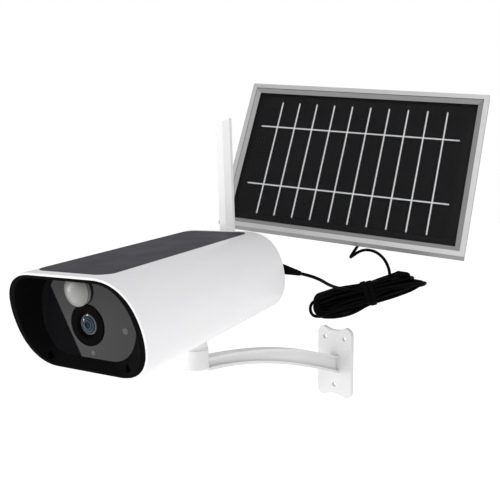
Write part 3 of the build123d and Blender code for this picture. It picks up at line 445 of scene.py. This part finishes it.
def colour_by_facing(material, direction, other, low, high):
    """The material's own colour where the part faces a direction of its rest, and another elsewhere.

    Low and high are the cosines between which one goes over into the other.
    """
    facing = add(material, "ShaderNodeVectorMath", operation="DOT_PRODUCT")
    join(material, add(material, "ShaderNodeTexCoord").outputs["Normal"], facing.inputs[0])
    facing.inputs[1].default_value = direction
    both = add(material, "ShaderNodeMix", data_type="RGBA")
    join(material, between(material, facing.outputs["Value"], 0.0, 1.0, low, high), both.inputs["Factor"])
    both.inputs["A"].default_value = (*other, 1)
    colour = shader_of(material).inputs["Base Color"]
    join(material, colour.links[0].from_socket, both.inputs["B"])
    join(material, both.outputs["Result"], colour)


def metal_with_painted_shade(name, face, edge, rough):
    """The panel's frame: darker on its sloping lip and its sides than on its flat face, a painted shade
    chosen by the way each part faces rather than cast by the lamps.
    """
    material = metal(name, face, rough, metallic=0.6)
    # Painted shade: the lip and the sides take the darker edge colour by the way they face
    colour_by_facing(material, -PANEL_BACKWARD, edge, low=0.93, high=0.985)
    return material


def two_faced(name, front, back):
    """The panel's back sheet: black toward the cells and white behind."""
    material = moulded(name, back, 0.5, Specular_IOR_Level=0.1)
    colour_by_facing(material, PANEL_BACKWARD, front, low=-0.1, high=0.1)
    return material


# By slot: name, base colour, roughness, and what isn't as usual
MATERIALS = {
    "white_shell": moulded("white_shell", (0.765, 0.765, 0.772), 0.34, spread=0.008, depth=0.000012),
    "white_bracket": moulded("white_bracket", (0.72, 0.72, 0.715), 0.5, spread=0.015, depth=0.00003),
    "white_antenna": moulded("white_antenna", (0.80, 0.80, 0.79), 0.36, spread=0.01, depth=0.000012),
    "black_moulding": moulded(
        "black_moulding", (0.0015, 0.0015, 0.0015), 0.55,
        spread=0.1, depth=0.00003, Specular_IOR_Level=0.015,
    ),
    "grey_part": moulded("grey_part", (0.12, 0.12, 0.13), 0.5, spread=0.04),
    "cable_skin": moulded(
        "cable_skin", (0.002, 0.002, 0.002), 0.42,
        spread=0.15, grain_scale=2200, depth=0.00001, Specular_IOR_Level=0.02,
    ),
    "seal": moulded("seal", (0.03, 0.03, 0.03), 0.7, spread=0.1),
    "button_skin": moulded("button_skin", (0.2, 0.2, 0.21), 0.65, spread=0.04),
    "white_metal": moulded(
        "white_metal", (0.72, 0.73, 0.73), 0.38, spread=0.015, grain_scale=700, depth=0.00004,
    ),
    "black_steel": moulded(
        "black_steel", (0.03, 0.03, 0.032), 0.4, spread=0.06, grain_scale=700, depth=0.00004,
    ),
    "steel": metal("steel", (0.56, 0.56, 0.57), 0.3),
    "zinc_screw": metal("zinc_screw", (0.03, 0.03, 0.032), 0.45),
    "brass_socket": metal("brass_socket", (0.72, 0.55, 0.26), 0.26),
    # The frame's darker edge colour is painted shade on its lip and sides
    "anodised_frame": metal_with_painted_shade(
        "anodised_frame", face=(0.53, 0.53, 0.53), edge=(0.21, 0.21, 0.21), rough=0.5,
    ),
    "cell_can": moulded("cell_can", (0.06, 0.2, 0.36), 0.3, spread=0.03),
    "led_lens": moulded("led_lens", (0.02, 0.008, 0.012), 0.12, spread=0.05),
    "silver_line": moulded("silver_line", (0.95, 0.95, 0.95), 0.45),
    "board": moulded("board", (0.015, 0.1, 0.04), 0.4, spread=0.15, grain_scale=500),
    "black_gloss": moulded(
        "black_gloss", (0.006, 0.006, 0.007), 0.02,
        spread=0.05, grain_scale=300, depth=0.0000002, Specular_IOR_Level=0.35,
    ),
    "pir_lens": milky_lens_with_painted_shade("pir_lens"),
    "optical_glass": coated_lens_with_painted_reflections("optical_glass"),
    # Painted reflection: the top glass's grey base colour stands in for the soft light it reflects over a
    # dark cell, its own gloss kept low
    "top_glass": moulded("top_glass", (0.047, 0.045, 0.055), 0.5, Specular_IOR_Level=0.05),
    "solar_cell": moulded(
        "solar_cell", (0.008, 0.008, 0.0085), 0.6,
        spread=0.1, grain_scale=300, depth=0.000001, Specular_IOR_Level=0.05,
    ),
    "panel_glass": moulded(
        "panel_glass", (0.02, 0.02, 0.022), 0.2,
        grain_scale=300, depth=0.0000005, Specular_IOR_Level=0.1, Alpha=0.12,
    ),
    "back_sheet": two_faced("back_sheet", front=(0.0075, 0.0075, 0.008), back=(0.5, 0.5, 0.49)),
}


def paint_frame():
    """Each carried-over CAD node takes the material of its slot."""
    slots = {part["node"]: part["material_slot"] for part in frame["record"]["subparts"]}
    for name, node in frame["nodes"].items():
        material = MATERIALS[slots[name]]
        node.data.materials.clear()
        node.data.materials.append(material)


paint_frame()
cable.data.materials.append(MATERIALS["cable_skin"])
strap.data.materials.append(MATERIALS["cable_skin"])


# ---- Small windows in the faceplate, over a lamp and the light sensor ----
# Each one's middle, across and up from the face's, and its radius
WINDOWS = {"lamp_window": (29.3, -3.0, 2.0), "sensor_window": (2.5, -19.4, 1.8)}
# From the rim inward: how far from its middle, over the radius, and how far it stands out
WINDOW_PROFILE = [(1.0, 0.0), (1.0, 0.12), (0.9, 0.2), (0.8, 0.14), (0.55, 0.24), (0.25, 0.3)]
WINDOW_STEPS = 36


def make_window(name, x, z, radius, material):
    """A shallow round lens let into the faceplate, with a low rim."""
    bm = bmesh.new()
    rows = []
    for across, out in WINDOW_PROFILE:
        reach = across * radius
        row = []
        for k in range(WINDOW_STEPS):
            angle = 2 * math.pi * k / WINDOW_STEPS
            height = HEAD_MIDDLE + z + reach * math.sin(angle)
            spot = Vector((x + reach * math.cos(angle), PLATE_Y - out, height))
            row.append(bm.verts.new(MM * (HEAD @ spot)))
        rows.append(row)
    for a, b in zip(rows, rows[1:]):
        for k in range(WINDOW_STEPS):
            after = (k + 1) % WINDOW_STEPS
            bm.faces.new((a[k], a[after], b[after], b[k]))
    bm.faces.new(rows[-1])
    bm.faces.new(rows[0])
    bmesh.ops.recalc_face_normals(bm, faces=bm.faces)
    piece = add_mesh(name, bm, "head", material)


window_skin = moulded("window_skin", (0.045, 0.045, 0.047), 0.3, spread=0.05, Specular_IOR_Level=0.6)
for window, settings in WINDOWS.items():
    make_window(window, *settings, window_skin)


# ---- Stage, in metres ----
FLOOR_REACH = 6.0
FLOOR_Z = -0.09
FLOOR_GLOW = 0.47
WORLD_LIGHT = 0.6
# The card's corners, as the camera sees them mirrored in the faceplate: across and up from its middle, in mm
CARD_IN_PLATE = [(-44.0, 60.0), (-29.4, 23.4), (-7.3, -23.1), (1.4, -40.0), (-90.0, -40.0), (-90.0, 60.0)]
CARD_DISTANCE = 0.45            # from the faceplate, over the camera's own distance
OBJECT_MIDDLE = (0, -0.15, 0.08)
LENS_FRONT = (0.017, -0.312, 0.09)
# Place, target, size and power of each lamp; the small ones show as highlights in the lens
LAMPS = {
    "key": ((0.9, -0.9, 1.1), OBJECT_MIDDLE, 0.7, 6.5),
    "fill": ((-0.9, -0.7, 0.7), OBJECT_MIDDLE, 0.9, 1.5),
    "glint_high": ((-0.4, -0.84, 0.23), LENS_FRONT, 0.1, 0.8),
    "glint_side": ((-0.46, -0.64, 0.03), LENS_FRONT, 0.06, 0.6),
}


def make_world():
    """An even soft light, seen as plain white."""
    world = bpy.data.worlds.new("studio")
    world.use_nodes = True
    tree = world.node_tree
    soft = tree.nodes["Background"]
    soft.inputs["Color"].default_value = (0.99, 0.99, 1, 1)
    soft.inputs["Strength"].default_value = WORLD_LIGHT
    paper = tree.nodes.new("ShaderNodeBackground")
    paper.inputs["Color"].default_value = (1, 1, 1, 1)
    seen = tree.nodes.new("ShaderNodeLightPath")
    both = tree.nodes.new("ShaderNodeMixShader")
    tree.links.new(seen.outputs["Is Camera Ray"], both.inputs["Fac"])
    tree.links.new(soft.outputs["Background"], both.inputs[1])
    tree.links.new(paper.outputs["Background"], both.inputs[2])
    tree.links.new(both.outputs["Shader"], tree.nodes["World Output"].inputs["Surface"])
    bpy.context.scene.world = world
    bpy.context.scene.view_settings.view_transform = "Standard"


def make_floor():
    """White paper under the object, which shines a little so that it reads as plain white."""
    mesh = bpy.data.meshes.new("floor")
    across = ((-1, -1), (1, -1), (1, 1), (-1, 1))
    mesh.from_pydata([(FLOOR_REACH * x, FLOOR_REACH * y, FLOOR_Z) for x, y in across], [], [(0, 1, 2, 3)])
    floor = bpy.data.objects.new("floor", mesh)
    bpy.context.scene.collection.objects.link(floor)
    mesh.materials.append(moulded(
        "floor_paper", (0.93, 0.93, 0.93), 0.9,
        spread=0.002, Emission_Color=(1, 1, 1, 1), Emission_Strength=FLOOR_GLOW,
    ))


def make_card():
    """A black card that only reflections see, placed so that its edge crosses the glossy faceplate."""
    eye = bpy.context.scene.camera.location
    inward = HEAD.to_3x3() @ Vector((0, 1, 0))
    middle = MM * (HEAD @ Vector((0, PLATE_Y, HEAD_MIDDLE)))
    mirrored = eye + 2 * inward * (middle - eye).dot(inward)
    corners = []
    for x, z in CARD_IN_PLATE:
        spot = MM * (HEAD @ Vector((x, PLATE_Y, HEAD_MIDDLE + z)))
        corners.append(spot + (spot - mirrored) * CARD_DISTANCE)
    mesh = bpy.data.meshes.new("card")
    mesh.from_pydata(corners, [], [tuple(range(len(corners)))])
    mesh.materials.append(new_material("card_black", (0, 0, 0), 1.0, Specular_IOR_Level=0.0))
    card = bpy.data.objects.new("card", mesh)
    for kind in ("camera", "diffuse", "shadow", "transmission", "volume_scatter"):
        setattr(card, "visible_" + kind, False)
    bpy.context.scene.collection.objects.link(card)


def area_light(name, place, target, size, power):
    data = bpy.data.lights.new(name, "AREA")
    data.shape = "DISK"
    data.size = size
    data.energy = power
    light = bpy.data.objects.new(name, data)
    light.location = place
    light.rotation_euler = (Vector(target) - Vector(place)).to_track_quat("-Z", "Y").to_euler()
    bpy.context.scene.collection.objects.link(light)


make_world()
make_floor()
make_card()
for lamp, settings in LAMPS.items():
    area_light(lamp, *settings)

bpy.context.view_layer.update()
